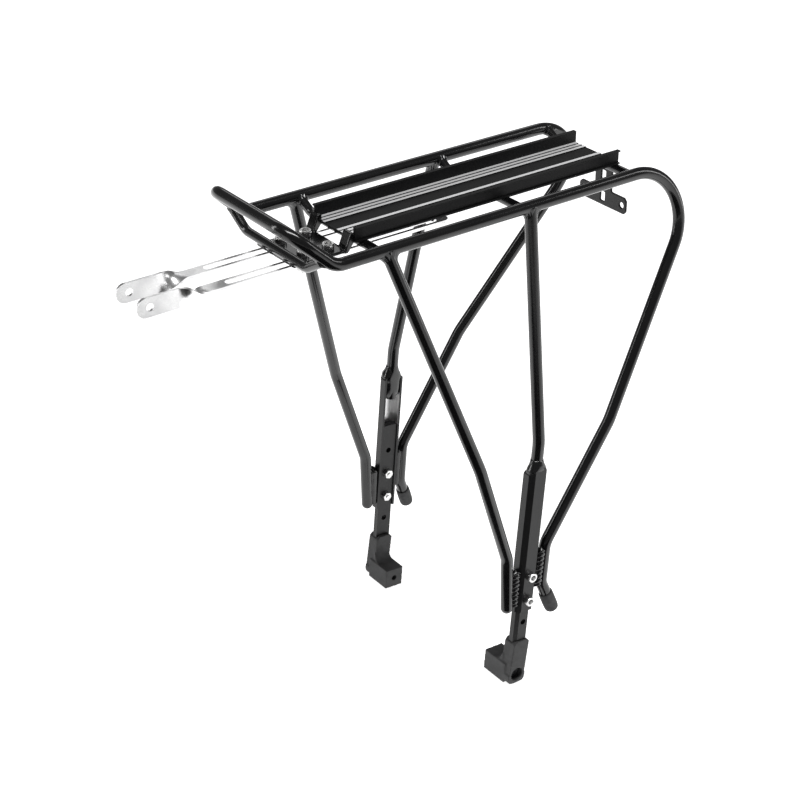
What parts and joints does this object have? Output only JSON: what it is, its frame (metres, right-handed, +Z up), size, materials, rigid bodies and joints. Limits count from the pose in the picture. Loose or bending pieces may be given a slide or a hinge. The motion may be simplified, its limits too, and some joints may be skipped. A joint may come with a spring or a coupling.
{
  "type": "bicycle rear rack",
  "caption": "Tubular bicycle rear rack with a slide-track deck, raised front hoop, slotted front stays and bolt-adjustable leg height.",
  "frame": {"origin": "midway between the two dropout bolt holes, on their common axis", "axes": "+X forward towards the saddle, +Y to the rider's left, +Z up"},
  "size_m": [0.5107, 0.236, 0.484],
  "materials": {
    "frame_paint": "gloss black powder coat",
    "channel_paint": "satin black powder coat",
    "weld_paint": "gloss black paint over a rippled weld",
    "bar_paint": "black coat, worn to bare metal where it slides",
    "foot_casting": "dark grey cast metal, matt",
    "screw_steel": "zinc-plated steel",
    "bolt_steel": "zinc-plated steel",
    "washer_steel": "zinc-plated steel",
    "cap_rubber": "dark grey rubber",
    "stay_steel": "bright drawn steel",
    "deck_anodised": "matt black coat with bright ribs",
    "clamp_paint": "gloss black powder coat",
    "bracket_paint": "gloss black powder coat"
  },
  "bodies": {
    "frame": {"left_side_tube": "frame_paint", "right_side_tube": "frame_paint", "front_hoop": "frame_paint", "lower_hoop_bar": "frame_paint", "cross_tube_front": "frame_paint", "cross_tube_middle": "frame_paint", "cross_tube_rear": "frame_paint", "left_front_leg": "frame_paint", "right_front_leg": "frame_paint", "left_middle_leg": "frame_paint", "right_middle_leg": "frame_paint", "left_leg_channel": "channel_paint", "right_leg_channel": "channel_paint", "left_channel_welds": "weld_paint", "right_channel_welds": "weld_paint", "deck": "deck_anodised", "stay_clamp_plate": "clamp_paint", "clamp_bolts": "bolt_steel", "clamp_washers": "washer_steel", "clamp_nuts": "bolt_steel", "left_leg_screws": "screw_steel", "right_leg_screws": "screw_steel", "left_hook_cap": "cap_rubber", "right_hook_cap": "cap_rubber", "rear_light_bracket": "bracket_paint"},
    "left_foot_leg": {"left_leg_bar": "bar_paint", "left_foot": "foot_casting", "left_leg_nuts": "screw_steel"},
    "right_foot_leg": {"right_leg_bar": "bar_paint", "right_foot": "foot_casting", "right_leg_nuts": "screw_steel"},
    "left_stay": {"left_front_stay": "stay_steel"},
    "right_stay": {"right_front_stay": "stay_steel"}
  },
  "joints": [
    {"name": "left_leg_height", "type": "slide", "parent": "frame", "child": "left_foot_leg", "axis": [-0.0785, 0, 0.9969], "range_m": [-0.025, 0.025]},
    {"name": "right_leg_height", "type": "slide", "parent": "frame", "child": "right_foot_leg", "axis": [-0.0785, 0, 0.9969], "range_m": [-0.025, 0.025]},
    {"name": "left_stay_reach", "type": "slide", "parent": "frame", "child": "left_stay", "axis": [1, 0, 0], "range_m": [-0.065, 0.103]},
    {"name": "right_stay_reach", "type": "slide", "parent": "frame", "child": "right_stay", "axis": [1, 0, 0], "range_m": [-0.065, 0.103]}
  ]
}
